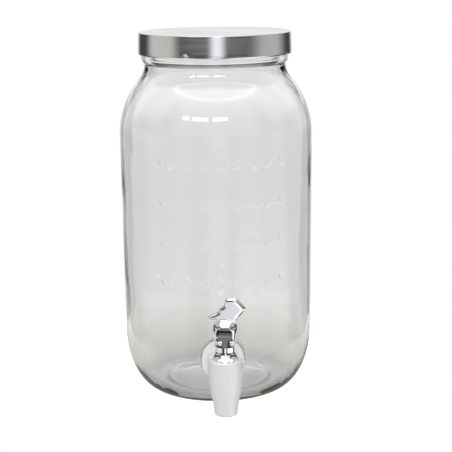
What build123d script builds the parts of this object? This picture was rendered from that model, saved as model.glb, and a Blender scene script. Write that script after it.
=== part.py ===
from build123d import *
import os
from math import cos, radians, sin, sqrt

# A countertop drinks dispenser: a wide-mouth glass jar with a lug-type metal lid and a chromed
# lever tap bolted through the wall near the foot.
# Millimetres. +Z is up, the origin is on the resting plane at the jar's axis, the tap faces -Y.

# Jar
BODY_R = 75.0  # widest radius, where the shoulder starts
FOOT_R = 73.9  # radius where the heel ends and the side wall starts
HEEL_RUN = 27.0  # the heel is a quarter ellipse, this wide
HEEL_RISE = 48.5  # and this high
SHOULDER_Z = 204.0
SHOULDER_RUN = 45.0  # the shoulder is part of a quarter ellipse, cut by the neck
SHOULDER_RISE = 53.0
SHOULDER_BLEND = 8.0
WALL = 4.0
FLOOR = 6.0
FLOOR_CROWN = 6.5  # how much the middle of the floor stands above its edge
PUNT_R = 38.0  # push-up under the base
PUNT_RISE = 5.5
NECK_R = 55.3
BEAD_R = 57.2
BEAD_LOW = 260.5
BEAD_HIGH = 266.5
FINISH_R = 53.8
MOUTH_R = 50.6
MOUTH_Z = 280.8
BEAD_ROUND = 2.0
LIP_ROUND = 1.4

# Lid and its four-start lug thread
LID_R = 58.9
LID_TOP = 282.3
LID_SHEET = 0.6
LID_EDGE = 2.4
CURL_R = 1.05
CURL_PROUD = 0.1  # how far the curl stands out past the skirt
CURL_Z = 267.8
STARTS = 4
LEAD = 16.0  # rise for one full turn
RAMP_TURN = 80.0  # degrees that one glass ramp covers
RAMP_LEAD_IN = 10.0  # degrees from a ramp's low end to the seated lug
RAMP_REACH = 1.6
RAMP_HIGH = 2.0
RAMP_CREST = 1.2
RAMP_ROOT = 0.8  # how far a ramp is sunk in the glass
LUG_Z = 267.9
LUG_HIGH = 1.2
LUG_TURN = 10.0
LUG_INNER_R = 54.4
FIRST_LUG = 66.0  # degrees from +X
GASKET_INNER_R = 50.6
GASKET_OUTER_R = 56.0
GASKET_GAP = 0.05

# Tap
TAP_OUT = 114.0  # from the jar's axis to the tap's upright axis
HOLE_Z = 42.0
HOLE_R = 8.4
BOSS_R = 18.0
BOSS_FACE = 74.3  # from the jar's axis to the flat moulded pad
BOSS_ROOT = 12.0  # how deep the pad starts inside the wall's outside
HOLE_REACH = 20.0  # how far the hole's cut runs past the wall each way
WASHER_R = 16.0
WASHER_THICK = 2.0
WASHER_BORE_R = 8.2
FLANGE_R = 12.0
FLANGE_THICK = 3.0
BARREL_R = 8.6
SHANK_R = 7.95
SHANK_END = 54.0  # from the jar's axis to the shank's inner end
INLET_R = 4.5
TIP_Z = 12.7
TIP_R = 8.6
TIP_ROUND = 1.5
RIM_Z = 54.6
RIM_R = 12.7
CUP_SIDE = ((12.6, 45.0), (12.0, 36.4), (11.2, 30.3), (10.2, 26.0), (9.3, 21.5))  # radius, height
OUTLET_R = 7.0
SEAT_Z = 33.0
PORT_R = 4.5
PORT_DEEP = 3.0
PORT_CHAMFER = 2.0
CHAMBER_R = 8.2
POCKET_R = 11.6  # counterbore that takes the bonnet's shoulder
POCKET_DEEP = 1.5
INNER_WASHER_R = 13.0
INNER_WASHER_FACE = 66.0  # from the jar's axis to its flat face
BACKING_THICK = 1.0
NUT_ACROSS = 24.0
NUT_THICK = 7.0
NUT_BORE_R = 8.0

# Bonnet, stem and spring
BONNET_LOW = RIM_Z - 7.5
BONNET_SKIRT_R = 8.1
BONNET_SHOULDER_R = 11.4
BONNET_FLARE_LOW = RIM_Z + 0.5
BONNET_FLARE_HIGH = RIM_Z + 6.5
BONNET_NECK_R = 7.3
BONNET_TOP = RIM_Z + 10.0
GUIDE_R = 2.55
GLAND_R = 4.1
GLAND_LOW = RIM_Z + 6.6
GLAND_HIGH = RIM_Z + 8.4
SPRING_ROOM_R = 5.2
SPRING_ROOM_TOP = RIM_Z + 5.4
SEAL_MEAN_R = 9.6
SEAL_SECTION_R = 0.6
SEAL_GROOVE = 0.85  # half the groove's width
STEM_R = 2.5
STEM_LOW = 37.0
STEM_END_GAP = 0.1
COLLAR_R = 4.6
COLLAR_LOW = RIM_Z - 8.0
COLLAR_THICK = 1.6
EYE_R = 3.0
EYE_LONG = 10.4
PIN_Z = RIM_Z + 16.0
PIN_R = 1.4
PIN_LONG = 15.4
PIN_FIT = 0.05
RING_MEAN_R = 3.32
RING_SECTION_R = 0.76
SPRING_MEAN_R = 3.75
SPRING_WIRE_R = 0.45
SPRING_TURNS = 5
PLUG_R = 6.4
PLUG_BAND = 3.0
PLUG_TOP = 41.0
PLUG_NECK_R = 4.6

# Lever
SWIVEL = -9.0  # degrees that the lever stands turned about the stem, towards +X
HOOD_TOP = RIM_Z + 29.8
HOOD_FOOT_R = 7.2
HOOD_SIDE = ((8.2, -1.0), (8.9, 5.5), (8.2, 10.2), (5.0, 13.1))  # radius, height over the pin
SLOT_HALF = 5.8
SLOT_BACK = 4.4
SLOT_ARCH_Z = 4.0  # over the pin
CAM_BASE = 5.97  # pin centre to bonnet top, less a running gap
CAM_RATE = 2.4  # lift for each radian of tilt
CAM_TURN = 60.0  # degrees of tilt
CAM_STEPS = 13
CHEEK_OUT = 7.2  # outer side of the two cam feet
CHEEK_R = 8.75  # how far they reach from the pin
PADDLE_LEAN = 12.0
PADDLE_ROOT = 7.2  # over the pin
PADDLE_THICK = 4.2
PADDLE_EDGE = 1.3
# The paddle's outline: across, up from its root and corner radius. It is not symmetrical: a low
# narrow wing on the left, a tall lobe at the top and a broad wing on the right.
PADDLE_OUTLINE = (
    (-3.8, 0.0, 0.0),
    (-4.8, 7.4, 1.8),
    (-11.6, 6.9, 1.4),
    (-11.9, 9.9, 1.4),
    (-4.1, 13.2, 1.2),
    (-3.2, 16.2, 1.2),
    (0.2, 18.6, 1.5),
    (0.9, 24.0, 2.2),
    (8.6, 24.6, 2.6),
    (16.2, 16.1, 2.2),
    (8.4, 6.6, 2.5),
    (6.4, 0.0, 0.0),
)

REACH = 40.0  # a length past everything that a cut must pass
EDGE_ROUND = 0.6


def spun(outline):
    """A solid of revolution about Z from a closed outline of (radius, height) edges."""
    return revolve(Plane.XZ * make_face(outline), Axis.Z)


def ring(inner, outer, low, high):
    """A plain upright ring."""
    face = Pos((inner + outer) / 2, (low + high) / 2) * Rectangle(outer - inner, high - low)
    return revolve(Plane.XZ * face, Axis.Z)


def torus_ring(mean, section, height):
    return Pos(0, 0, height) * Torus(mean, section)


def rod_y(radius, near, far, height):
    """A cylinder along Y between two distances in front of the jar's axis."""
    middle = (near + far) / 2
    return Pos(0, -middle, height) * Rot(90, 0, 0) * Cylinder(radius, abs(far - near))


def washer_y(bore, radius, near, far):
    return rod_y(radius, near, far, HOLE_Z) - rod_y(bore, near, far, HOLE_Z)


def nearest(shape, x, y):
    """The vertex of a flat outline that is closest to a point."""
    return min(shape.vertices(), key=lambda v: (v.X - x) ** 2 + (v.Y - y) ** 2)


def rectangle_between(x0, x1, y0, y1):
    return Pos((x0 + x1) / 2, (y0 + y1) / 2) * Rectangle(x1 - x0, y1 - y0)


def at_tap(shape):
    return Pos(0, -TAP_OUT, 0) * shape


def at_lever(shape):
    """From the lever's own frame, pin centre at the origin, to its place, turned by the swivel."""
    return Pos(0, -TAP_OUT, PIN_Z) * Rot(0, 0, SWIVEL) * shape


# ---------------------------------------------------------------- jar


def body_outline(foot, body, heel_run, heel_rise, low, shoulder_run, shoulder_rise):
    """Heel, side wall and shoulder: half of the jar's section, from the axis outwards."""
    centre = foot - heel_run
    top = SHOULDER_Z + shoulder_rise
    middle = body - shoulder_run
    return make_face([
        Line((0, low), (centre, low)),
        EllipticalCenterArc((centre, low + heel_rise), heel_run, heel_rise, -90, arc_size=90),
        Line((foot, low + heel_rise), (body, SHOULDER_Z)),
        EllipticalCenterArc((middle, SHOULDER_Z), shoulder_run, shoulder_rise, 0, arc_size=90),
        Line((middle, top), (0, top)),
        Line((0, top), (0, low)),
    ])


def shoulder_height(radius, body, rise):
    """How high the shoulder's quarter ellipse is at a radius."""
    across = (radius - body + SHOULDER_RUN) / SHOULDER_RUN
    return SHOULDER_Z + rise * sqrt(1 - across**2)


def jar_outside():
    section = body_outline(
        FOOT_R, BODY_R, HEEL_RUN, HEEL_RISE, 0, SHOULDER_RUN, SHOULDER_RISE
    )
    section += rectangle_between(0, NECK_R, SHOULDER_Z, BEAD_HIGH)
    section += rectangle_between(0, FINISH_R, SHOULDER_Z, MOUTH_Z)
    meet = shoulder_height(NECK_R, BODY_R, SHOULDER_RISE)
    section = fillet(nearest(section, NECK_R, meet), SHOULDER_BLEND)
    bead = rectangle_between(FINISH_R - 1, BEAD_R, BEAD_LOW, BEAD_HIGH)
    bead = fillet([nearest(bead, BEAD_R, BEAD_LOW), nearest(bead, BEAD_R, BEAD_HIGH)], BEAD_ROUND)
    section += bead
    section = fillet(nearest(section, FINISH_R, MOUTH_Z), LIP_ROUND)
    solid = revolve(Plane.XZ * section, Axis.Z)
    return solid + rod_y(BOSS_R, FOOT_R - BOSS_ROOT, BOSS_FACE, HOLE_Z)


def jar_inside():
    section = body_outline(
        FOOT_R - WALL,
        BODY_R - WALL,
        HEEL_RUN - WALL,
        HEEL_RISE - FLOOR,
        FLOOR,
        SHOULDER_RUN,
        SHOULDER_RISE - WALL,
    )
    section += rectangle_between(0, MOUTH_R, SHOULDER_Z, MOUTH_Z + 1)
    meet = shoulder_height(MOUTH_R, BODY_R - WALL, SHOULDER_RISE - WALL)
    section = fillet(nearest(section, MOUTH_R, meet), SHOULDER_BLEND)
    solid = revolve(Plane.XZ * section, Axis.Z)
    edge = FOOT_R - HEEL_RUN
    sphere = (edge**2 + FLOOR_CROWN**2) / (2 * FLOOR_CROWN)
    return solid - Pos(0, 0, FLOOR + FLOOR_CROWN - sphere) * Sphere(sphere)


def punt():
    """The shallow push-up under the base."""
    sphere = (PUNT_R**2 + PUNT_RISE**2) / (2 * PUNT_RISE)
    return Pos(0, 0, PUNT_RISE - sphere) * Sphere(sphere)


def ramp(start):
    """One thread ramp of the glass finish, from its low end up to the right."""
    rise = LEAD * RAMP_TURN / 360
    path = Helix(LEAD, rise, FINISH_R)
    tip = RAMP_CREST / 2
    root = RAMP_HIGH / 2
    outline = Polyline(
        (-RAMP_ROOT, -root), (0, -root), (RAMP_REACH, -tip),
        (RAMP_REACH, tip), (0, root), (-RAMP_ROOT, root), close=True,
    )
    section = Plane((FINISH_R, 0, 0), x_dir=(1, 0, 0), z_dir=(0, -1, 0)) * make_face(outline)
    solid = sweep(section, path=path, is_frenet=True)
    low = LUG_Z + LEAD / STARTS / 2 - LEAD * RAMP_LEAD_IN / 360
    turn = FIRST_LUG + start * 360 / STARTS - RAMP_LEAD_IN
    return Pos(0, 0, low) * Rot(0, 0, turn) * solid


def glass_wall():
    return jar_outside() - jar_inside() - punt()


def glass_jar():
    jar = glass_wall() - rod_y(HOLE_R, FOOT_R - HOLE_REACH, FOOT_R + HOLE_REACH, HOLE_Z)
    for start in range(STARTS):
        jar += ramp(start)
    return jar


# ---------------------------------------------------------------- lid


def lid_shell():
    outer = rectangle_between(0, LID_R, CURL_Z, LID_TOP)
    outer = fillet(nearest(outer, LID_R, LID_TOP), LID_EDGE)
    inner = rectangle_between(0, LID_R - LID_SHEET, CURL_Z - 1, LID_TOP - LID_SHEET)
    inner = fillet(nearest(inner, LID_R - LID_SHEET, LID_TOP - LID_SHEET), LID_EDGE - LID_SHEET)
    lid = revolve(Plane.XZ * (outer - inner), Axis.Z)
    lid += torus_ring(LID_R - CURL_R + CURL_PROUD, CURL_R, CURL_Z)
    tab = rectangle_between(LUG_INNER_R, LID_R - CURL_R, LUG_Z - LUG_HIGH / 2, LUG_Z + LUG_HIGH / 2)
    for start in range(STARTS):
        turn = FIRST_LUG + start * 360 / STARTS - LUG_TURN / 2
        lid += Rot(0, 0, turn) * revolve(Plane.XZ * tab, Axis.Z, LUG_TURN)
    return lid


def lid_gasket():
    return ring(GASKET_INNER_R, GASKET_OUTER_R, MOUTH_Z, LID_TOP - LID_SHEET - GASKET_GAP)


# ---------------------------------------------------------------- tap, fixed pieces


def flange_face():
    return BOSS_FACE + WASHER_THICK


def spigot_body():
    cup = make_face([
        Spline((RIM_R, RIM_Z), *CUP_SIDE, (TIP_R, TIP_Z)),
        Polyline((TIP_R, TIP_Z), (0, TIP_Z), (0, RIM_Z), (RIM_R, RIM_Z)),
    ])
    cup = fillet(nearest(cup, TIP_R, TIP_Z), TIP_ROUND)
    cup = fillet(nearest(cup, RIM_R, RIM_Z), EDGE_ROUND)
    body = at_tap(revolve(Plane.XZ * cup, Axis.Z))
    body += rod_y(BARREL_R, flange_face(), TAP_OUT, HOLE_Z)
    flange = rod_y(FLANGE_R, flange_face(), flange_face() + FLANGE_THICK, HOLE_Z)
    flange = fillet(flange.edges().group_by(Axis.Y)[0], EDGE_ROUND)
    body += flange
    body += rod_y(SHANK_R, SHANK_END, flange_face(), HOLE_Z)
    body -= rod_y(INLET_R, SHANK_END, TAP_OUT, HOLE_Z)
    port_low = SEAT_Z - PORT_DEEP
    bores = make_face(Polyline(
        (0, TIP_Z), (OUTLET_R, TIP_Z), (OUTLET_R, port_low - PORT_CHAMFER), (PORT_R, port_low),
        (PORT_R, SEAT_Z), (CHAMBER_R, SEAT_Z), (CHAMBER_R, RIM_Z - POCKET_DEEP),
        (POCKET_R, RIM_Z - POCKET_DEEP), (POCKET_R, RIM_Z), (0, RIM_Z), close=True,
    ))
    return body - at_tap(revolve(Plane.XZ * bores, Axis.Z))


def outer_washer():
    return washer_y(WASHER_BORE_R, WASHER_R, BOSS_FACE, flange_face())


def inner_washer():
    """Soft washer, flat towards the nut and shaped to the round wall behind it."""
    return washer_y(WASHER_BORE_R, INNER_WASHER_R, INNER_WASHER_FACE, FOOT_R - WALL) - glass_wall()


def backing_washer():
    near = INNER_WASHER_FACE - BACKING_THICK
    return washer_y(WASHER_BORE_R, INNER_WASHER_R, near, INNER_WASHER_FACE)


def lock_nut():
    face = INNER_WASHER_FACE - BACKING_THICK
    hexagon = RegularPolygon(NUT_ACROSS / 2, 6, major_radius=False)
    nut = Pos(0, -face, HOLE_Z) * Rot(-90, 0, 0) * extrude(hexagon, NUT_THICK)
    return nut - rod_y(NUT_BORE_R, face - NUT_THICK, face, HOLE_Z)


def bonnet():
    shoulder = RIM_Z - POCKET_DEEP
    groove_in = SEAL_MEAN_R - SEAL_GROOVE
    groove_out = SEAL_MEAN_R + SEAL_GROOVE
    groove_top = shoulder + 2 * SEAL_SECTION_R
    flare_run = BONNET_SHOULDER_R - BONNET_NECK_R
    flare_rise = BONNET_FLARE_HIGH - BONNET_FLARE_LOW
    outline = [
        Polyline(
            (BONNET_NECK_R, BONNET_FLARE_HIGH), (BONNET_NECK_R, BONNET_TOP), (GUIDE_R, BONNET_TOP),
            (GUIDE_R, GLAND_HIGH), (GLAND_R, GLAND_HIGH), (GLAND_R, GLAND_LOW),
            (GUIDE_R, GLAND_LOW), (GUIDE_R, SPRING_ROOM_TOP), (SPRING_ROOM_R, SPRING_ROOM_TOP),
            (SPRING_ROOM_R, BONNET_LOW), (BONNET_SKIRT_R, BONNET_LOW), (BONNET_SKIRT_R, shoulder),
            (groove_in, shoulder), (groove_in, groove_top),
            (groove_out, groove_top), (groove_out, shoulder),
            (BONNET_SHOULDER_R, shoulder), (BONNET_SHOULDER_R, BONNET_FLARE_LOW),
        ),
        EllipticalCenterArc(
            (BONNET_SHOULDER_R, BONNET_FLARE_HIGH), flare_run, flare_rise, 180, arc_size=90
        ),
    ]
    return at_tap(spun(outline))


def bonnet_seal():
    height = RIM_Z - POCKET_DEEP + SEAL_SECTION_R
    return at_tap(torus_ring(SEAL_MEAN_R, SEAL_SECTION_R, height))


def stem_o_ring():
    return at_tap(torus_ring(RING_MEAN_R, RING_SECTION_R, (GLAND_LOW + GLAND_HIGH) / 2))


# ---------------------------------------------------------------- tap, moving pieces


def seat_plug():
    socket = STEM_LOW - STEM_END_GAP
    outline = Polyline(
        (0, SEAT_Z), (PLUG_R, SEAT_Z), (PLUG_R, SEAT_Z + PLUG_BAND), (PLUG_NECK_R, PLUG_TOP),
        (GUIDE_R, PLUG_TOP), (GUIDE_R, socket), (0, socket), close=True,
    )
    return at_tap(spun(outline))


def return_spring():
    low = COLLAR_LOW + COLLAR_THICK + SPRING_WIRE_R
    rise = SPRING_ROOM_TOP - SPRING_WIRE_R - low
    path = Helix(rise / SPRING_TURNS, rise, SPRING_MEAN_R)
    section = Plane(origin=path @ 0, z_dir=path % 0) * Circle(SPRING_WIRE_R)
    return at_tap(Pos(0, 0, low) * sweep(section, path=path, is_frenet=True))


def pin_rod(radius, length):
    """A cylinder along the lever's pin axis, in the lever's own frame."""
    return Rot(0, 90, 0) * Cylinder(radius, length)


def stem():
    long = PIN_Z - STEM_LOW
    rod = Pos(0, 0, -long / 2) * Cylinder(STEM_R, long)
    collar = Pos(0, 0, COLLAR_LOW + COLLAR_THICK / 2 - PIN_Z) * Cylinder(COLLAR_R, COLLAR_THICK)
    eye = pin_rod(EYE_R, EYE_LONG)
    return at_lever(rod + collar + eye - pin_rod(PIN_R + PIN_FIT, REACH))


def lever_pin():
    return at_lever(pin_rod(PIN_R, PIN_LONG))


def cam_point(turn):
    """A point of the foot's outline, (forward, up) from the pin, for a tilt in radians. The foot
    rolls on the bonnet there, and the pin's height grows by CAM_RATE for each radian."""
    reach = CAM_BASE + CAM_RATE * turn
    return (
        -reach * sin(turn) - CAM_RATE * cos(turn),
        -reach * cos(turn) + CAM_RATE * sin(turn),
    )


def below_cam():
    """What the foot leaves free for the bonnet at any tilt, as a slab wider than the lever."""
    points = [cam_point(radians(CAM_TURN) * step / CAM_STEPS) for step in range(CAM_STEPS + 1)]
    start = points[0]
    end = points[-1]
    free = [(-REACH, end[1]), (-REACH, -REACH), (REACH, -REACH), (REACH, start[1])]
    under = make_face(Polyline(*points, *free, close=True))
    return extrude(Plane.YZ * under, REACH / 2, both=True)


def paddle():
    face = make_face(Polyline(*[(x, y) for x, y, _ in PADDLE_OUTLINE], close=True))
    for x, y, radius in PADDLE_OUTLINE[1:-1]:
        face = fillet(nearest(face, x, y), radius)
    plate = extrude(face, PADDLE_THICK / 2, both=True)
    plate = fillet(plate.faces().sort_by(Axis.Z)[-1].edges(), PADDLE_EDGE)
    plate = fillet(plate.faces().sort_by(Axis.Z)[0].edges(), PADDLE_EDGE)
    return Pos(0, 0, PADDLE_ROOT) * Rot(90 + PADDLE_LEAN, 0, 0) * plate


def cam_feet():
    """The two cheeks' rounded feet, which reach forwards to roll on the bonnet."""
    disc = pin_rod(CHEEK_R, 2 * CHEEK_OUT)
    front = Pos(0, -REACH / 2, -REACH / 2) * Box(REACH, REACH, REACH)
    return disc & front


def hood():
    """The round cap over the stem's eye, open in front and below, with the cam feet."""
    high = HOOD_TOP - PIN_Z
    shell = make_face([
        Spline((HOOD_FOOT_R, -CAM_BASE), *HOOD_SIDE, (0, high)),
        Polyline((0, high), (0, -CAM_BASE), (HOOD_FOOT_R, -CAM_BASE)),
    ])
    solid = revolve(Plane.XZ * shell, Axis.Z) + cam_feet()
    opening = rectangle_between(-SLOT_HALF, SLOT_HALF, -REACH / 2, SLOT_ARCH_Z)
    opening += Pos(0, SLOT_ARCH_Z) * Circle(SLOT_HALF)
    slot = Pos(0, SLOT_BACK, 0) * extrude(Plane.XZ * opening, REACH)
    return solid - below_cam() - slot - pin_rod(PIN_R + PIN_FIT, REACH)


def lever():
    return at_lever(hood() + paddle())


PIECES = (
    glass_jar, lid_shell, lid_gasket,
    spigot_body, outer_washer, inner_washer, backing_washer, lock_nut,
    bonnet, bonnet_seal, stem_o_ring,
    seat_plug, return_spring, stem, lever_pin, lever,
)


os.makedirs("parts", exist_ok=True)
for piece in PIECES:
    export_step(piece(), f"parts/{piece.__name__}.step")
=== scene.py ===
from math import atan2, cos, degrees, hypot, pi, radians, sin, sqrt

import bmesh
import bpy
import numpy as np
from mathutils import Matrix, Vector


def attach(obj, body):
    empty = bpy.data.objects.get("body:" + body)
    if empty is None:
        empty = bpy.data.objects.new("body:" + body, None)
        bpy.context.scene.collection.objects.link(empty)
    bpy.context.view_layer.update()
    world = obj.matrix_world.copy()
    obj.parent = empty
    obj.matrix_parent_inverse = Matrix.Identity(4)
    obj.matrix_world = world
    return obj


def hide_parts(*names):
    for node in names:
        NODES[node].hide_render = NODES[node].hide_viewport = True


# Looks for the drinks dispenser: a pressed-glass jar, a satin metal lid and a chromed lever tap.
# Lengths are millimetres in the constants and metres in Blender. +Z is up and the tap faces -Y.
# A bearing is an angle about the jar's axis from -Y, towards +X.

MM = 0.001

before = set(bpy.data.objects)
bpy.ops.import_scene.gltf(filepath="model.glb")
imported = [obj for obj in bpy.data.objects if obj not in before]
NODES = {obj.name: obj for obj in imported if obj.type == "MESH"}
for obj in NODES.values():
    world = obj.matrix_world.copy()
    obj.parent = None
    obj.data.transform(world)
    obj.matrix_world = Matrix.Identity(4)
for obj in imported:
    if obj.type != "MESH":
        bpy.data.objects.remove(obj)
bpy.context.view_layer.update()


# ---------------------------------------------------------------- camera

SENSOR = 36.0
LENS = 107.87
CAMERA_BEARING = -2.4  # the camera stands a little to the left of the tap
CAMERA_AWAY = 1052.7
CAMERA_HIGH = 350.4
CAMERA_DOWN = 11.886
CAMERA_PAN = 0.385  # turned to the right, so the jar stands left of the middle
CAMERA_ROLL = 0.66


def bearing_vector(bearing):
    return Vector((sin(radians(bearing)), -cos(radians(bearing)), 0))


def make_camera():
    data = bpy.data.cameras.new("camera")
    data.sensor_width = SENSOR
    data.lens = LENS
    data.clip_start = 0.05
    data.clip_end = 50
    camera = bpy.data.objects.new("camera", data)
    bpy.context.scene.collection.objects.link(camera)
    camera.location = bearing_vector(CAMERA_BEARING) * CAMERA_AWAY * MM + Vector((0, 0, CAMERA_HIGH * MM))
    turn = Matrix.Rotation(radians(CAMERA_BEARING - CAMERA_PAN), 4, "Z")
    tilt = Matrix.Rotation(radians(90 - CAMERA_DOWN), 4, "X")
    roll = Matrix.Rotation(radians(-CAMERA_ROLL), 4, "Z")
    camera.rotation_euler = (turn @ tilt @ roll).to_euler()
    bpy.context.scene.camera = camera


make_camera()


# ---------------------------------------------------------------- node helpers


def new_material(name):
    """A material with only a Principled shader, wired to its output."""
    material = bpy.data.materials.new(name)
    material.use_nodes = True
    tree = material.node_tree
    tree.nodes.clear()
    shader = tree.nodes.new("ShaderNodeBsdfPrincipled")
    output = tree.nodes.new("ShaderNodeOutputMaterial")
    tree.links.new(shader.outputs["BSDF"], output.inputs["Surface"])
    return material, tree, shader


def put(tree, socket, value):
    """Sets a socket, or links it where the value is another node's output."""
    if isinstance(value, bpy.types.NodeSocket):
        tree.links.new(value, socket)
    else:
        socket.default_value = value


def maths(tree, operation, *values):
    node = tree.nodes.new("ShaderNodeMath")
    node.operation = operation
    for socket, value in zip(node.inputs, values):
        put(tree, socket, value)
    return node.outputs[0]


def remap(tree, value, low, high, to_low, to_high):
    """A smooth change from one value to another while the input goes from low to high."""
    node = tree.nodes.new("ShaderNodeMapRange")
    node.interpolation_type = "SMOOTHSTEP"
    for socket, given in zip(node.inputs, (value, low, high, to_low, to_high)):
        put(tree, socket, given)
    return node.outputs[0]


def noise(tree, scale, detail=2.0, stretch=(1, 1, 1), roughness=0.5):
    """Noise in the piece's own space, so it stays on the piece as it moves."""
    place = tree.nodes.new("ShaderNodeTexCoord")
    mapping = tree.nodes.new("ShaderNodeMapping")
    mapping.inputs["Scale"].default_value = stretch
    tree.links.new(place.outputs["Object"], mapping.inputs["Vector"])
    node = tree.nodes.new("ShaderNodeTexNoise")
    node.inputs["Scale"].default_value = scale
    node.inputs["Detail"].default_value = detail
    node.inputs["Roughness"].default_value = roughness
    tree.links.new(mapping.outputs["Vector"], node.inputs["Vector"])
    return node.outputs["Fac"]


def mixed(tree, factor, first, second):
    """A colour between two, by a factor from a texture."""
    node = tree.nodes.new("ShaderNodeMix")
    node.data_type = "RGBA"
    put(tree, node.inputs["Factor"], factor)
    put(tree, node.inputs["A"], first)
    put(tree, node.inputs["B"], second)
    return node.outputs["Result"]


def bump(tree, shader, height, distance, strength=1.0):
    node = tree.nodes.new("ShaderNodeBump")
    node.inputs["Strength"].default_value = strength
    node.inputs["Distance"].default_value = distance
    tree.links.new(height, node.inputs["Height"])
    tree.links.new(node.outputs["Normal"], shader.inputs["Normal"])


# ---------------------------------------------------------------- studio

# The room is tuned for looks and is not one real room: mirrored rays see these panels, rays that
# have passed through glass see the pale backdrop, and the camera sees white past the object.
# Each panel, by bearing from CAMERA_BEARING (+ to the right) and height above the horizon, in
# degrees: centre, half width, softness, lowest, highest, softness, brightness, tint.
PANELS = (
    # level with the lid, so these are what its skirt mirrors
    (3.5, 9, 6, -9, 2, 3, 1.12, (1.0, 0.97, 1.05)),
    (-87, 27, 11, -9, 2, 3, 0.58, (1.0, 0.99, 0.93)),
    (90, 28, 18, -9, 2, 3, 0.46, (1.0, 0.99, 0.95)),
    (180, 24, 10, -50, 2, 5, 0.8, (1, 1, 1)),
    # lower, mirrored by the tap
    (0, 10, 5, -60, -13, 3, 0.95, (1, 1, 1)),
    (60, 36, 7, -60, -13, 3, 1.25, (1, 1, 1)),
    (-24, 22, 8, -60, -30, 4, 0.72, (1, 1, 1)),
    (-72, 34, 10, -60, -13, 3, 0.8, (1.0, 0.99, 0.96)),
    # the pale upper room in front, and a low strip behind that the lid's top mirrors
    (0, 50, 12, 4, 52, 5, 0.78, (1, 1, 1)),
    (180, 34, 10, 3, 8, 2.5, 1.12, (1, 1, 1)),
    (0, 78, 12, 24, 52, 6, 0.25, (1, 1, 1)),
    (180, 105, 16, 15, 52, 5, 0.5, (1, 1, 1)),
    # high windows
    (-39, 4.5, 1.5, 24.0, 29, 1.0, 14.0, (1, 1, 1)),
    (-20, 10.0, 1.5, 24.0, 29, 1.0, 14.0, (1, 1, 1)),
    (6, 9.0, 1.5, 24.0, 29, 1.0, 14.0, (1, 1, 1)),
    (4, 105, 14, 53, 59, 3, 2.6, (1, 1, 1)),
    (-8, 50, 12, 74, 82, 3, 1.8, (1, 1, 1)),
)
ROOM = 0.055
ROOM_TINT = (0.88, 0.95, 1.10)
CEILING_FROM = 48
CEILING_FULL = 66
CEILING = 1.6
BACKDROP = 0.825
BACKDROP_EVERY = 45.0  # the lit sheets behind the glass repeat round the room
BACKDROP_HALF = 14.5
BACKDROP_SOFT = 5.0
BETWEEN = 0.55
BACKDROP_LIFT = 0.24  # brighter above and below the band that shows straight through the jar
SIDES_FROM = 48  # the dark room at the sides, by how far round from straight behind
SIDES_FULL = 66
SIDES = 0.5
OPEN_WHITE = 1.0


def direction_angles(tree):
    """Bearing from the camera's side and height above the horizon of a ray, in degrees."""
    place = tree.nodes.new("ShaderNodeTexCoord")
    turn = tree.nodes.new("ShaderNodeMapping")
    turn.inputs["Rotation"].default_value = (0, 0, radians(-CAMERA_BEARING))
    tree.links.new(place.outputs["Generated"], turn.inputs["Vector"])
    parts = tree.nodes.new("ShaderNodeSeparateXYZ")
    tree.links.new(turn.outputs["Vector"], parts.inputs["Vector"])
    x, y, z = parts.outputs
    ahead = maths(tree, "MULTIPLY", y, -1.0)
    bearing = maths(tree, "DEGREES", maths(tree, "ARCTAN2", x, ahead))
    height = maths(tree, "DEGREES", maths(tree, "ARCSINE", z))
    return bearing, height


def window(tree, value, low, high, soft):
    """1 between low and high, fading to 0 over soft on each side."""
    up = remap(tree, value, low - soft, low + soft, 0.0, 1.0)
    down = remap(tree, value, high - soft, high + soft, 1.0, 0.0)
    return maths(tree, "MULTIPLY", up, down)


def scaled(tree, colour, amount):
    node = tree.nodes.new("ShaderNodeVectorMath")
    node.operation = "SCALE"
    node.inputs[0].default_value = colour
    put(tree, node.inputs["Scale"], amount)
    return node.outputs[0]


def added(tree, first, second):
    node = tree.nodes.new("ShaderNodeVectorMath")
    node.operation = "ADD"
    tree.links.new(first, node.inputs[0])
    tree.links.new(second, node.inputs[1])
    return node.outputs[0]


def room_light(tree, bearing, height):
    """The panels and ceiling that shiny surfaces mirror."""
    total = scaled(tree, ROOM_TINT, ROOM)
    for middle, half, soft, low, high, fade, level, tint in PANELS:
        off = maths(tree, "WRAP", maths(tree, "SUBTRACT", bearing, float(middle)), 180.0, -180.0)
        across = window(tree, off, -half, half, soft)
        upright = window(tree, height, low, high, fade)
        amount = maths(tree, "MULTIPLY", maths(tree, "MULTIPLY", across, upright), float(level))
        total = added(tree, total, scaled(tree, tint, amount))
    ceiling = remap(tree, height, CEILING_FROM, CEILING_FULL, 0.0, CEILING)
    return added(tree, total, scaled(tree, (1, 1, 1), ceiling))


def backdrop_light(tree, bearing, height):
    """The evenly spaced lit sheets that are seen through the glass."""
    offset = maths(tree, "WRAP", bearing, BACKDROP_EVERY / 2, -BACKDROP_EVERY / 2)
    near = maths(tree, "ABSOLUTE", offset)
    lit = remap(
        tree, near, BACKDROP_HALF - BACKDROP_SOFT / 2, BACKDROP_HALF + BACKDROP_SOFT / 2,
        BACKDROP, BETWEEN,
    )
    beyond = maths(
        tree, "ADD",
        remap(tree, height, -7, 0, 1.0, 1.0 + BACKDROP_LIFT),
        remap(tree, height, -16, -21, 0.0, BACKDROP_LIFT),
    )
    ceiling = remap(tree, height, CEILING_FROM, CEILING_FULL, 0.0, 0.6)
    amount = maths(tree, "MULTIPLY_ADD", lit, beyond, ceiling)
    from_behind = maths(tree, "WRAP", maths(tree, "SUBTRACT", bearing, 180.0), 180.0, -180.0)
    aside = maths(tree, "ABSOLUTE", from_behind)
    amount = maths(tree, "MULTIPLY", amount, remap(tree, aside, SIDES_FROM, SIDES_FULL, 1.0, SIDES))
    return scaled(tree, (1.0, 1.0, 1.005), amount)


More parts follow.
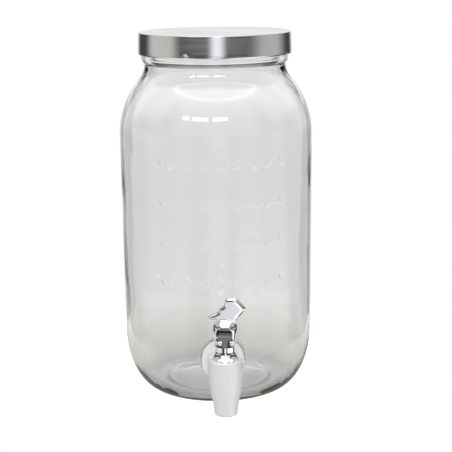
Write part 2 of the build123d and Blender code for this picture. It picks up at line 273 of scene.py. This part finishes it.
def make_studio():
    world = bpy.data.worlds.new("studio")
    bpy.context.scene.world = world
    world.use_nodes = True
    tree = world.node_tree
    tree.nodes.clear()
    bearing, height = direction_angles(tree)
    path = tree.nodes.new("ShaderNodeLightPath")
    behind = mixed(
        tree, path.outputs["Is Transmission Ray"],
        room_light(tree, bearing, height), backdrop_light(tree, bearing, height),
    )
    seen = mixed(tree, path.outputs["Is Camera Ray"], behind, (OPEN_WHITE, OPEN_WHITE, OPEN_WHITE, 1))
    light = tree.nodes.new("ShaderNodeBackground")
    output = tree.nodes.new("ShaderNodeOutputWorld")
    tree.links.new(seen, light.inputs["Color"])
    tree.links.new(light.outputs["Background"], output.inputs["Surface"])
    bpy.context.scene.view_settings.view_transform = "Standard"


make_studio()


# ---------------------------------------------------------------- floor

FLOOR_FRONT = -112.0  # the sheet ends under the tap, so the tap mirrors the darker room
FLOOR_BACK = 230.0
FLOOR_HALF = 190.0
FLOOR_CORNER = 60.0
FLOOR_DROP = 0.15  # clear of the jar's resting ring
FLOOR_COLOUR = (0.14, 0.145, 0.135, 1)
FLOOR_LIT = 0.65  # the sheet's own glow, standing in for lamps under it, even over its outer part
FLOOR_NEAR_PAINTED_SHADE = 0.51  # painted shadow: less glow near the jar, and least under it, in place of the jar's contact shadow
FLOOR_UNDER_PAINTED_SHADOW = 0.40
FLOOR_LIT_COLOUR = (0.985, 1.0, 0.955, 1)
FLOOR_GLOW = 0.8  # lifts what the camera sees of the sheet to the backdrop's white


def make_floor():
    mesh = bmesh.new()
    corners = []
    for x, y in ((1, FLOOR_BACK), (-1, FLOOR_BACK), (-1, FLOOR_FRONT), (1, FLOOR_FRONT)):
        corners.append(mesh.verts.new((x * FLOOR_HALF * MM, y * MM, -FLOOR_DROP * MM)))
    mesh.faces.new(corners)
    bmesh.ops.bevel(
        mesh, geom=list(mesh.verts), offset=FLOOR_CORNER * MM, segments=8, affect="VERTICES"
    )
    data = bpy.data.meshes.new("floor")
    mesh.to_mesh(data)
    mesh.free()
    floor = bpy.data.objects.new("floor", data)
    bpy.context.scene.collection.objects.link(floor)
    material, tree, shader = new_material("pale_sheet")
    shader.inputs["Base Color"].default_value = FLOOR_COLOUR
    shader.inputs["Roughness"].default_value = 0.9
    shader.inputs["Specular IOR Level"].default_value = 0.0
    shader.inputs["Emission Color"].default_value = FLOOR_LIT_COLOUR
    path = tree.nodes.new("ShaderNodeLightPath")
    place = tree.nodes.new("ShaderNodeTexCoord")
    length = tree.nodes.new("ShaderNodeVectorMath")
    length.operation = "LENGTH"
    tree.links.new(place.outputs["Object"], length.inputs[0])
    away = length.outputs["Value"]
    # painted shadow: the sheet's glow falls off towards the jar and is least under it, standing in for the
    # jar's contact shadow
    lit = maths(
        tree, "ADD", remap(tree, away, 0.06, 0.10, FLOOR_UNDER_PAINTED_SHADOW, FLOOR_NEAR_PAINTED_SHADE),
        remap(tree, away, 0.10, 0.23, 0.0, FLOOR_LIT - FLOOR_NEAR_PAINTED_SHADE),
    )
    glow = maths(tree, "MULTIPLY_ADD", path.outputs["Is Camera Ray"], FLOOR_GLOW, lit)
    tree.links.new(glow, shader.inputs["Emission Strength"])
    floor.data.materials.append(material)


make_floor()


# ---------------------------------------------------------------- mesh helpers


def make_object(name, points, faces, material):
    data = bpy.data.meshes.new(name)
    data.from_pydata([tuple(p) for p in points], [], faces)
    data.validate()
    data.polygons.foreach_set("use_smooth", [True] * len(data.polygons))
    data.materials.append(material)
    data.update()
    made = bpy.data.objects.new(name, data)
    bpy.context.scene.collection.objects.link(made)
    return made


def applied(piece):
    """Turns a piece's modifiers into its mesh."""
    evaluated = piece.evaluated_get(bpy.context.evaluated_depsgraph_get())
    data = bpy.data.meshes.new_from_object(evaluated)
    piece.modifiers.clear()
    piece.data = data
    return piece


def cut(piece, cutter):
    """Takes a closed cutter out of a piece."""
    modifier = piece.modifiers.new("cut", "BOOLEAN")
    modifier.object = cutter
    modifier.operation = "DIFFERENCE"
    modifier.solver = "EXACT"
    applied(piece)
    bpy.data.objects.remove(cutter)
    return piece


def ellipse(middle, low, run, rise, start, end, count):
    """Points on an ellipse's arc, (radius, height), angles in degrees from outwards."""
    angles = [radians(start + (end - start) * step / count) for step in range(count + 1)]
    return [(middle + run * cos(a), low + rise * sin(a)) for a in angles]


def straight(start, end, count):
    return [
        (start[0] + (end[0] - start[0]) * step / count, start[1] + (end[1] - start[1]) * step / count)
        for step in range(count + 1)
    ]


def joined(*stretches):
    """One outline from several, without the repeated points where they meet."""
    outline = []
    for stretch in stretches:
        for point in stretch:
            if not outline or hypot(point[0] - outline[-1][0], point[1] - outline[-1][1]) > 1e-4:
                outline.append(point)
    return outline


def lathe(outline, bearings, shift=None):
    """Points and faces of an outline turned about the jar's axis. The outline runs from the axis
    to the axis, so the surface is closed. shift(ring, bearings, radius, height) moves a ring."""
    around = np.radians(np.array(bearings))
    rings = len(outline) - 2
    count = len(bearings)
    points = [(0, 0, outline[0][1] * MM)]
    for number, (radius, height) in enumerate(outline[1:-1], start=1):
        radii = np.full(count, float(radius))
        if shift is not None:
            radii = radii + shift(number, np.array(bearings), radius, height)
        ring = np.stack(
            [radii * np.sin(around), -radii * np.cos(around), np.full(count, float(height))], 1
        )
        points.extend((ring * MM).tolist())
    points.append((0, 0, outline[-1][1] * MM))
    faces = [(0, 1 + (c + 1) % count, 1 + c) for c in range(count)]
    for row in range(rings - 1):
        base = 1 + row * count
        for c in range(count):
            right = (c + 1) % count
            faces.append((base + c, base + right, base + count + right, base + count + c))
    base = 1 + (rings - 1) * count
    last = len(points) - 1
    faces.extend((base + c, base + (c + 1) % count, last) for c in range(count))
    return points, faces


# ---------------------------------------------------------------- glass jar

BODY_R = 75.0
FOOT_R = 73.9
HEEL_RUN = 27.0
HEEL_RISE = 48.5
SHOULDER_Z = 204.0
SHOULDER_RUN = 45.0
SHOULDER_RISE = 55.0
SHOULDER_BLEND = 20.0
SHOULDER_WALL = 4.5
WALL = 4.0
FLOOR_THICK = 6.0
FLOOR_CROWN = 6.5
PUNT_R = 38.0
PUNT_RISE = 5.5
NECK_R = 54.6
BEAD_R = 57.0
BEAD_LOW = 258.6
BEAD_FULL = 263.4
BEAD_HIGH = 266.5
BEAD_ROUND = 1.6
BEAD_INSET = 0.7  # how far the bead's curve starts inside the neck
FINISH_R = 53.8
MOUTH_R = 50.6
MOUTH_Z = 280.75
LIP_ROUND = 1.4
INSIDE_LIP = 0.8
MOUTH_LOW = 257.5  # where the mouth's upright inner wall ends
TAP_HOLE_Z = 42.0
TAP_HOLE_R = 8.4
TAP_HOLE_CUT = 24.0  # length of the cut through the wall
PAD_R = 18.0
PAD_FACE = 74.25
PAD_ROUND = 4.0

STARTS = 4
LEAD = 16.0
RAMP_TURN = 80.0
RAMP_LEAD_IN = 10.0
RAMP_REACH = 1.6
RAMP_HALF_ROOT = 1.0
RAMP_HALF_CREST = 0.55
FIRST_LUG = 66.0
LUG_Z = 267.9


def shoulder_blend(middle, rise, neck):
    """Where a round of SHOULDER_BLEND touches the shoulder's ellipse and the upright neck: the
    ellipse's angle in degrees and the round's centre height."""
    low, high = 0.0, pi / 2
    for _ in range(60):
        angle = (low + high) / 2
        across, up = cos(angle) / SHOULDER_RUN, sin(angle) / rise
        size = hypot(across, up)
        centre = middle + SHOULDER_RUN * cos(angle) + SHOULDER_BLEND * across / size
        if centre > neck + SHOULDER_BLEND:
            low = angle
        else:
            high = angle
    height = SHOULDER_Z + rise * sin(angle) + SHOULDER_BLEND * up / size
    touch = degrees(atan2(up, across))
    return degrees(angle), height, touch


def shoulder(middle, rise, neck, count):
    """The shoulder from the side wall up to the neck."""
    angle, height, touch = shoulder_blend(middle, rise, neck)
    slope = ellipse(middle, SHOULDER_Z, SHOULDER_RUN, rise, 0, angle, count)
    hollow = ellipse(
        neck + SHOULDER_BLEND, height, SHOULDER_BLEND, SHOULDER_BLEND, 180 + touch, 180, 8
    )
    return joined(slope, hollow)


def dome(radius, edge, crown, count):
    """A shallow spherical cap from the axis out to a radius, crown higher in the middle."""
    sphere = (radius**2 + crown**2) / (2 * crown)
    reach = [radius * step / count for step in range(count + 1)]
    return [(r, edge + crown - sphere + sqrt(sphere**2 - r**2)) for r in reach]


def jar_outside():
    heel = FOOT_R - HEEL_RUN
    return joined(
        dome(PUNT_R, 0, PUNT_RISE, 10),
        straight((PUNT_R, 0), (heel, 0), 4),
        ellipse(heel, HEEL_RISE, HEEL_RUN, HEEL_RISE, -90, 0, 48),
        straight((FOOT_R, HEEL_RISE), (BODY_R, SHOULDER_Z), 170),
        shoulder(BODY_R - SHOULDER_RUN, SHOULDER_RISE, NECK_R, 34),
        ellipse(
            NECK_R - BEAD_INSET, BEAD_FULL, BEAD_R - NECK_R + BEAD_INSET, BEAD_FULL - BEAD_LOW, -75, 0, 10
        ),
        ellipse(BEAD_R - BEAD_ROUND, BEAD_HIGH - BEAD_ROUND, BEAD_ROUND, BEAD_ROUND, 0, 90, 5),
        straight((FINISH_R, BEAD_HIGH), (FINISH_R, MOUTH_Z - LIP_ROUND), 36),
        ellipse(FINISH_R - LIP_ROUND, MOUTH_Z - LIP_ROUND, LIP_ROUND, LIP_ROUND, 0, 90, 5),
    )


def jar_inside():
    heel = FOOT_R - HEEL_RUN
    wall_r = BODY_R - WALL
    inner = shoulder(wall_r - SHOULDER_RUN, SHOULDER_RISE - SHOULDER_WALL, MOUTH_R, 18)
    return joined(
        ellipse(MOUTH_R + INSIDE_LIP, MOUTH_Z - INSIDE_LIP, INSIDE_LIP, INSIDE_LIP, 90, 180, 4),
        straight((MOUTH_R, MOUTH_Z - INSIDE_LIP), (MOUTH_R, MOUTH_LOW), 6),
        list(reversed(inner)),
        straight((wall_r, SHOULDER_Z), (FOOT_R - WALL, HEEL_RISE), 34),
        ellipse(heel, HEEL_RISE, HEEL_RUN - WALL, HEEL_RISE - FLOOR_THICK, 0, -90, 18),
        list(reversed(dome(heel, FLOOR_THICK, FLOOR_CROWN, 8))),
    )


JAR_FINE_TO = 51.0  # bearings that carry the moulded ornament
JAR_FINE_STEP = 0.5
JAR_COARSE_STEP = 4.1


def jar_bearings():
    fine = np.arange(-JAR_FINE_TO, JAR_FINE_TO + JAR_FINE_STEP / 2, JAR_FINE_STEP)
    count = round((360 - 2 * JAR_FINE_TO) / JAR_COARSE_STEP)
    coarse = np.linspace(JAR_FINE_TO, 360 - JAR_FINE_TO, count + 1)[1:-1]
    return np.concatenate([fine, coarse])


# A plain frieze on the unrolled front wall: level rows of paired leaves and beads, evenly spaced
# and centred on the tap.
RELIEF = 0.6
FRIEZE_ROWS = 4
FRIEZE_LOW = 100.0
FRIEZE_HIGH = 190.0
FRIEZE_HALF = 50.0  # from the middle of a row to its last leaf
FRIEZE_MARGIN = 8.0  # the wall above and below the rows that their leaves reach
FRIEZE_LEVEL = 0.75
LEAF_PITCH = 12.5
LEAF_LONG = 11.0
LEAF_WIDE = 4.6
LEAF_LEAN = 52.0
BEAD_HALF = 1.6


def ridge(distance, half):
    """A rounded rib's height, from 1 at its middle to 0 at half its width."""
    return 0.5 + 0.5 * np.cos(pi * np.clip(distance / half, 0, 1))


def leaf(across, up, x, y, turn):
    """A pointed leaf with a vein."""
    a, b = cos(radians(turn)), sin(radians(turn))
    u = (across - x) * a + (up - y) * b
    v = -(across - x) * b + (up - y) * a
    edge = LEAF_WIDE / 2 * np.clip(1 - (2 * u / LEAF_LONG) ** 2, 0, 1)
    swell = np.sqrt(np.clip(1 - (v / np.maximum(edge, 1e-3)) ** 2, 0, 1)) * (edge > 0.05)
    vein = 0.45 * np.exp(-((v / 0.5) ** 2))
    return np.clip(swell - vein * (edge > 0.3), 0, 1)


def leaf_row(across, up, middle):
    """A level row of leaves that lean in turn, with a bead between each two."""
    total = np.zeros(across.shape)
    count = round(2 * FRIEZE_HALF / LEAF_PITCH)
    for number in range(count + 1):
        x = -FRIEZE_HALF + number * LEAF_PITCH
        lean = LEAF_LEAN if number % 2 else 180 - LEAF_LEAN
        total = np.maximum(total, leaf(across, up, x, middle, lean))
        if number < count:
            bead = np.hypot(across - x - LEAF_PITCH / 2, up - middle)
            total = np.maximum(total, ridge(bead, BEAD_HALF))
    return total


def ornament(across, up):
    """Height of the whole frieze, from 0 to 1."""
    gap = (FRIEZE_HIGH - FRIEZE_LOW) / (FRIEZE_ROWS - 1)
    rows = [leaf_row(across, up, FRIEZE_LOW + row * gap) for row in range(FRIEZE_ROWS)]
    return FRIEZE_LEVEL * np.maximum.reduce(rows)


def pad_height(bearings, radius, height):
    """How far the tap's flat moulded pad stands out of the wall, along each bearing."""
    around = np.radians(bearings)
    face = PAD_FACE / np.maximum(np.cos(around), 0.1) - radius
    across = PAD_FACE * np.tan(around)
    away = np.hypot(across, height - TAP_HOLE_Z)
    front = np.cos(around) > 0.8
    share = np.clip((PAD_R + 0.2 - away) / PAD_ROUND, 0, 1)
    return np.where(front, np.maximum(face, 0) * share * share * (3 - 2 * share), 0)


def thread_height(bearings, height):
    """How far the four lug ramps stand out of the finish."""
    total = np.zeros(len(bearings))
    for start in range(STARTS):
        first = FIRST_LUG + 90 + start * 360 / STARTS - RAMP_LEAD_IN
        turn = (bearings - first) % 360
        middle = LUG_Z + LEAD / STARTS / 2 - LEAD * RAMP_LEAD_IN / 360 + LEAD * turn / 360
        off = np.abs(height - middle)
        rise = np.clip((RAMP_HALF_ROOT - off) / (RAMP_HALF_ROOT - RAMP_HALF_CREST), 0, 1)
        ends = np.clip(np.minimum(turn, RAMP_TURN - turn) / 4, 0, 1)
        total = np.maximum(total, RAMP_REACH * rise * ends)
    return total


INSIDE_WAVES = (
    # bearings per wave, millimetres of height per wave, turn, depth
    (31.0, 210.0, 0.4, 0.04),
    (19.0, 330.0, 1.9, 0.022),
    (47.0, 74.0, 3.1, 0.035),
    (360.0, 41.0, 0.9, 0.03),
)


def inside_ripple(bearings, height):
    """The uneven inner face of pressed glass."""
    total = np.zeros(len(bearings))
    for around, up, turn, depth in INSIDE_WAVES:
        waves = max(1, round(360 / around))
        total += depth * np.sin(np.radians(bearings) * waves + 2 * pi * height / up + turn)
    calm = np.exp(-((bearings / 14) ** 2) - ((height - TAP_HOLE_Z) / 24) ** 2)
    return total * (1 - calm)


def make_jar(material):
    outside = jar_outside()
    inside = jar_inside()
    outline = joined(outside, inside)
    outside_count = len(outside)

    def shift(number, bearings, radius, height):
        if number < outside_count:
            moved = np.zeros(len(bearings))
            if FRIEZE_LOW - FRIEZE_MARGIN < height < FRIEZE_HIGH + FRIEZE_MARGIN:
                across = np.radians(bearings) * radius
                shown = np.abs(bearings) < 60
                moved = np.where(shown, RELIEF * ornament(across, np.full(len(bearings), height)), 0)
            if height < TAP_HOLE_Z + PAD_R + 2 and radius > FOOT_R - HEEL_RUN:
                moved = np.maximum(moved, pad_height(bearings, radius, height))
            if height > BEAD_HIGH and radius > FINISH_R - 0.1:
                moved = np.maximum(moved, thread_height(bearings, height))
            return moved
        if radius < MOUTH_R - 5 or height > 250:
            return np.zeros(len(bearings))
        return inside_ripple(bearings, height)

    points, faces = lathe(outline, jar_bearings(), shift)
    jar = make_object("jar_glass", points, faces, material)
    bpy.ops.mesh.primitive_cylinder_add(
        vertices=96, radius=TAP_HOLE_R * MM, depth=TAP_HOLE_CUT * MM,
        location=(0, -FOOT_R * MM, TAP_HOLE_Z * MM), rotation=(pi / 2, 0, 0),
    )
    cut(jar, bpy.context.object)
    jar.data.set_sharp_from_angle(angle=radians(50))
    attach(jar, "jar")
    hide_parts("glass_jar")


def clear_glass():
    material, tree, shader = new_material("pressed_glass")
    shader.inputs["Base Color"].default_value = (0.975, 0.978, 0.975, 1)
    shader.inputs["Roughness"].default_value = 0.0
    shader.inputs["IOR"].default_value = 1.5
    shader.inputs["Transmission Weight"].default_value = 1.0
    ripple = noise(tree, 38.0, 2.0, (1, 1, 0.5))
    bump(tree, shader, ripple, 0.0006, 0.35)
    absorb = tree.nodes.new("ShaderNodeVolumeAbsorption")
    absorb.inputs["Color"].default_value = (0.80, 0.84, 0.80, 1)
    absorb.inputs["Density"].default_value = 22.0
    output = next(n for n in tree.nodes if n.type == "OUTPUT_MATERIAL")
    tree.links.new(absorb.outputs["Volume"], output.inputs["Volume"])
    return material


make_jar(clear_glass())


# ---------------------------------------------------------------- metal and plastic finishes


def satin_metal(name, colour, roughness, stretch=(0.15, 0.15, 1.0), scale=260.0, metallic=1.0):
    material, tree, shader = new_material(name)
    shader.inputs["Metallic"].default_value = metallic
    streaks = noise(tree, scale, 3.0, stretch)
    tone = mixed(tree, streaks, tuple(0.95 * c for c in colour) + (1,), colour + (1,))
    tree.links.new(tone, shader.inputs["Base Color"])
    rough = remap(tree, streaks, 0.3, 0.7, roughness * 0.92, roughness * 1.08)
    tree.links.new(rough, shader.inputs["Roughness"])
    return material


def soft_plastic(name, colour, roughness, grain):
    """Rubber, silicone or moulded plastic with a fine grain."""
    material, tree, shader = new_material(name)
    speckle = noise(tree, grain, 4.0)
    tone = mixed(tree, speckle, tuple(0.88 * c for c in colour) + (1,), colour + (1,))
    tree.links.new(tone, shader.inputs["Base Color"])
    shader.inputs["Roughness"].default_value = roughness
    bump(tree, shader, speckle, 0.00008, 0.4)
    return material


def dress(node, material):
    """Gives a CAD node a finished material."""
    data = NODES[node].data
    data.materials.clear()
    data.materials.append(material)


LID_METAL = satin_metal("tinplate", (0.88, 0.88, 0.87), 0.17, (0.08, 0.08, 2.0))
SATIN = satin_metal("satin_chrome_plate", (0.83, 0.83, 0.825), 0.45, (1, 1, 0.08), 700.0, 0.3)
CHROME = satin_metal("bright_chrome_plate", (0.90, 0.90, 0.92), 0.05)
STEEL = satin_metal("stainless_steel", (0.62, 0.62, 0.61), 0.24)
SILICONE = soft_plastic("white_silicone", (0.88, 0.90, 0.86), 0.42, 900.0)
PLASTISOL = soft_plastic("gasket_plastisol", (0.74, 0.74, 0.71), 0.55, 700.0)
RUBBER = soft_plastic("black_rubber", (0.035, 0.035, 0.036), 0.5, 1200.0)
STEM_PLASTIC = soft_plastic("stem_acetal", (0.19, 0.18, 0.18), 0.12, 500.0)
FINISHES = {
    "lid_shell": LID_METAL,
    "spigot_body": SATIN,
    "bonnet": CHROME,
    "lever": CHROME,
    "lid_gasket": PLASTISOL,
    "outer_washer": SILICONE,
    "inner_washer": SILICONE,
    "seat_plug": SILICONE,
    "backing_washer": STEEL,
    "lock_nut": STEEL,
    "return_spring": STEEL,
    "lever_pin": STEEL,
    "bonnet_seal": RUBBER,
    "stem_o_ring": RUBBER,
    "stem": STEM_PLASTIC,
}
for node, finish in FINISHES.items():
    dress(node, finish)


# ---------------------------------------------------------------- turned pieces


def turned(loop, count, shift=None):
    """Points and faces of a closed outline of (radius, height) turned about an upright axis."""
    around = np.linspace(0, 2 * pi, count, endpoint=False)
    points = []
    for number, (radius, height) in enumerate(loop):
        radii = np.full(count, float(radius))
        heights = np.full(count, float(height))
        if shift is not None:
            out, up = shift(number, np.degrees(around))
            radii, heights = radii + out, heights + up
        ring = np.stack([radii * np.sin(around), -radii * np.cos(around), heights], 1)
        points.extend((ring * MM).tolist())
    faces = []
    for row in range(len(loop)):
        here, there = row * count, (row + 1) % len(loop) * count
        for c in range(count):
            right = (c + 1) % count
            faces.append((here + c, here + right, there + right, there + c))
    return points, faces


def together(*parts):
    """One mesh from several (points, faces)."""
    points, faces = [], []
    for more, made in parts:
        base = len(points)
        points.extend(more)
        faces.extend(tuple(base + index for index in face) for face in made)
    return points, faces


def placed(part, matrix):
    points, faces = part
    return [tuple(matrix @ Vector(point)) for point in points], faces


def outwards(piece):
    """Makes every face of a piece look outwards."""
    mesh = bmesh.new()
    mesh.from_mesh(piece.data)
    bmesh.ops.recalc_face_normals(mesh, faces=list(mesh.faces))
    mesh.to_mesh(piece.data)
    mesh.free()


LID_R = 59.5
LID_TOP = 282.3
LID_SHEET = 0.6
LID_ROLL = ((50.0, 282.3), (57.5, 282.3), (58.7, 282.29))
LID_EDGE = 0.22
LID_TAPER = 0.45  # how much narrower the skirt is at its top
CURL_MIDDLE_R = 58.75
CURL_MIDDLE_Z = 266.6
CURL_OUT = 0.7
CURL_UP = 0.9
LUG_TURN = 10.0
LUG_INNER_R = 54.4
LUG_HIGH = 1.2
LID_STEPS = 360


def lid_loop():
    """The lid's sheet as a closed outline. The middle of the top is filled in separately."""
    skirt = LID_R - LID_TAPER
    corner = ellipse(skirt - LID_EDGE, 282.28 - LID_EDGE, LID_EDGE, LID_EDGE, 78, 0, 6)
    side = straight((skirt, 281.9), (LID_R, 267.5), 8)
    curl = ellipse(CURL_MIDDLE_R, CURL_MIDDLE_Z, CURL_OUT, CURL_UP, 12, -190, 14)
    inner = LID_R - LID_SHEET
    under = LID_TOP - LID_SHEET
    inside = [(inner, 267.6), (inner - LID_TAPER, 281.1), (inner - 0.8, under), (2, under)]
    return joined([(2, 282.3)], list(LID_ROLL), corner, side, curl, inside), len(corner) + len(side)


def lug_tab(turn):
    """One lug under the curl, as a short bent plate."""
    points, faces = [], []
    steps = 6
    for step in range(steps + 1):
        angle = radians(turn - LUG_TURN / 2 + LUG_TURN * step / steps)
        for radius, height in (
            (LUG_INNER_R, LUG_Z - LUG_HIGH / 2), (CURL_MIDDLE_R, LUG_Z - LUG_HIGH / 2),
            (CURL_MIDDLE_R, LUG_Z + LUG_HIGH / 2), (LUG_INNER_R, LUG_Z + LUG_HIGH / 2),
        ):
            points.append((radius * sin(angle) * MM, -radius * cos(angle) * MM, height * MM))
    for step in range(steps):
        base = 4 * step
        for side in range(4):
            nearer, further = base + side, base + (side + 1) % 4
            faces.append((nearer, further, further + 4, nearer + 4))
    faces.append((3, 2, 1, 0))
    faces.append(tuple(4 * steps + side for side in range(4)))
    return points, faces


def make_lid():
    loop, before_curl = lid_loop()
    lugs = [FIRST_LUG + 90 + start * 360 / STARTS for start in range(STARTS)]

    def pressed(number, bearings):
        """The curl is pinched a little at each lug."""
        pinch = np.zeros(len(bearings))
        if number > before_curl:
            for turn in lugs:
                off = (bearings - turn + 180) % 360 - 180
                pinch = np.maximum(pinch, np.exp(-((off / 2.0) ** 2)))
        inner = loop[number][0] < CURL_MIDDLE_R - CURL_OUT or loop[number][1] > 268
        strength = 0.0 if inner else 1.0
        return -0.45 * pinch * strength, 0.35 * pinch * strength

    shell = turned(loop, LID_STEPS, pressed)
    points, faces = together(shell, *[lug_tab(turn) for turn in lugs])
    faces.append(tuple(range(LID_STEPS)))
    last = (len(loop) - 1) * LID_STEPS
    faces.append(tuple(range(last, last + LID_STEPS))[::-1])

    def crosses_sheet(face):
        """The faces that would join the two middles through the sheet."""
        return len(face) == 4 and last <= face[0] < last + LID_STEPS and face[2] < LID_STEPS

    faces = [face for face in faces if not crosses_sheet(face)]
    lid = make_object("lid_pressed", points, faces, LID_METAL)
    outwards(lid)
    lid.data.set_sharp_from_angle(angle=radians(40))
    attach(lid, "lid")
    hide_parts("lid_shell")


make_lid()


TAP_OUT = 114.0
RIM_Z = 54.6
RIM_R = 12.7
TIP_Z = 12.7
CUP_SIDE = (
    (12.7, 52.0), (12.68, 48.5), (12.6, 45.0), (12.35, 40.5), (12.0, 36.4), (11.65, 33.2), (11.2, 30.2),
    (10.7, 27.7), (10.2, 25.6), (9.75, 23.6), (9.35, 21.2), (9.0, 18.6), (8.72, 16.0),
)
CUP_BORE = (
    (7.0, TIP_Z), (7.0, 28.0), (4.5, 30.0), (4.5, 33.0), (8.2, 33.0), (8.2, 53.1), (11.6, 53.1), (11.6, RIM_Z),
)
FLANGE_FACE = 76.3
FLANGE_THICK = 3.0
FLANGE_R = 12.0
BARREL_R = 8.6
SHANK_R = 7.95
SHANK_END = 54.0
BARREL_END = TAP_OUT - 8.5  # inside the cup's wall, which this mesh leaves unpierced
THREAD_PITCH = 1.5
THREAD_DEEP = 0.45
INLET_R = 4.5


def smooth_curve(points, each):
    """A smooth line through points, with several steps for each gap."""
    xs = np.array([points[0]] + list(points) + [points[-1]], float)
    line = []
    for i in range(1, len(xs) - 2):
        a, b, c, d = xs[i - 1], xs[i], xs[i + 1], xs[i + 2]
        for step in range(each):
            t = step / each
            line.append(tuple(0.5 * (
                2 * b + (c - a) * t + (2 * a - 5 * b + 4 * c - d) * t**2 + (3 * b - a - 3 * c + d) * t**3
            )))
    line.append(tuple(xs[-2]))
    return line


def make_spigot():
    rim = ellipse(RIM_R - 0.7, RIM_Z - 0.7, 0.7, 0.7, 90, 0, 6)
    side = smooth_curve(CUP_SIDE, 4)
    tip = ellipse(7.1, TIP_Z + 1.5, 1.5, 1.5, 0, -90, 7)
    cup = placed(
        turned(joined(rim, side, tip, list(CUP_BORE)), 128), Matrix.Translation((0, -TAP_OUT * MM, 0))
    )
    lying = Matrix.Translation((0, 0, TAP_HOLE_Z * MM)) @ Matrix.Rotation(pi / 2, 4, "X")
    far = FLANGE_FACE + FLANGE_THICK
    flange = [(SHANK_R - 1, FLANGE_FACE), (FLANGE_R, FLANGE_FACE)]
    flange += ellipse(FLANGE_R - 0.8, far - 0.8, 0.8, 0.8, 0, 90, 5) + [(SHANK_R - 1, far)]
    barrel = [(INLET_R, FLANGE_FACE + 1), (BARREL_R, FLANGE_FACE + 1)]
    barrel += [(BARREL_R, BARREL_END), (INLET_R, BARREL_END)]
    thread = []
    turns = int((FLANGE_FACE - 3 - SHANK_END - 1) / THREAD_PITCH)
    for number in range(turns):
        low = SHANK_END + 0.8 + number * THREAD_PITCH
        thread += [(SHANK_R - THREAD_DEEP, low), (SHANK_R, low + 0.55 * THREAD_PITCH)]
    shank = [(INLET_R, SHANK_END), (SHANK_R - 0.8, SHANK_END)] + thread
    shank += [(SHANK_R, FLANGE_FACE + 1), (INLET_R, FLANGE_FACE + 1)]
    pieces = [placed(turned(loop, 96), lying) for loop in (flange, barrel, shank)]
    spigot = make_object("spigot_moulded", *together(cup, *pieces), SATIN)
    outwards(spigot)
    spigot.data.set_sharp_from_angle(angle=radians(35))
    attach(spigot, "jar")
    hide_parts("spigot_body")


make_spigot()


PADDLE_FROM = 86.5  # the paddle above this is rounded over like a pillow


def make_lever():
    """The lever as a soft cast shape, from the CAD's own."""
    source = NODES["lever"]
    lever = bpy.data.objects.new("lever_cast", source.data.copy())
    bpy.context.scene.collection.objects.link(lever)
    lever.matrix_world = source.matrix_world
    melt = lever.modifiers.new("melt", "REMESH")
    melt.mode = "VOXEL"
    melt.voxel_size = 0.3 * MM
    calm = lever.modifiers.new("calm", "SMOOTH")
    calm.factor = 0.6
    calm.iterations = 26
    applied(lever)
    blade = lever.vertex_groups.new(name="blade")
    turn = lever.matrix_world
    high = [v.index for v in lever.data.vertices if (turn @ v.co).z > PADDLE_FROM * MM]
    blade.add(high, 1.0, "REPLACE")
    soften = lever.modifiers.new("soften", "SMOOTH")
    soften.vertex_group = "blade"
    soften.factor = 0.7
    soften.iterations = 60
    applied(lever)
    lever.data.materials.clear()
    lever.data.materials.append(CHROME)
    lever.data.polygons.foreach_set("use_smooth", [True] * len(lever.data.polygons))
    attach(lever, "lever")
    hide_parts("lever")


make_lever()
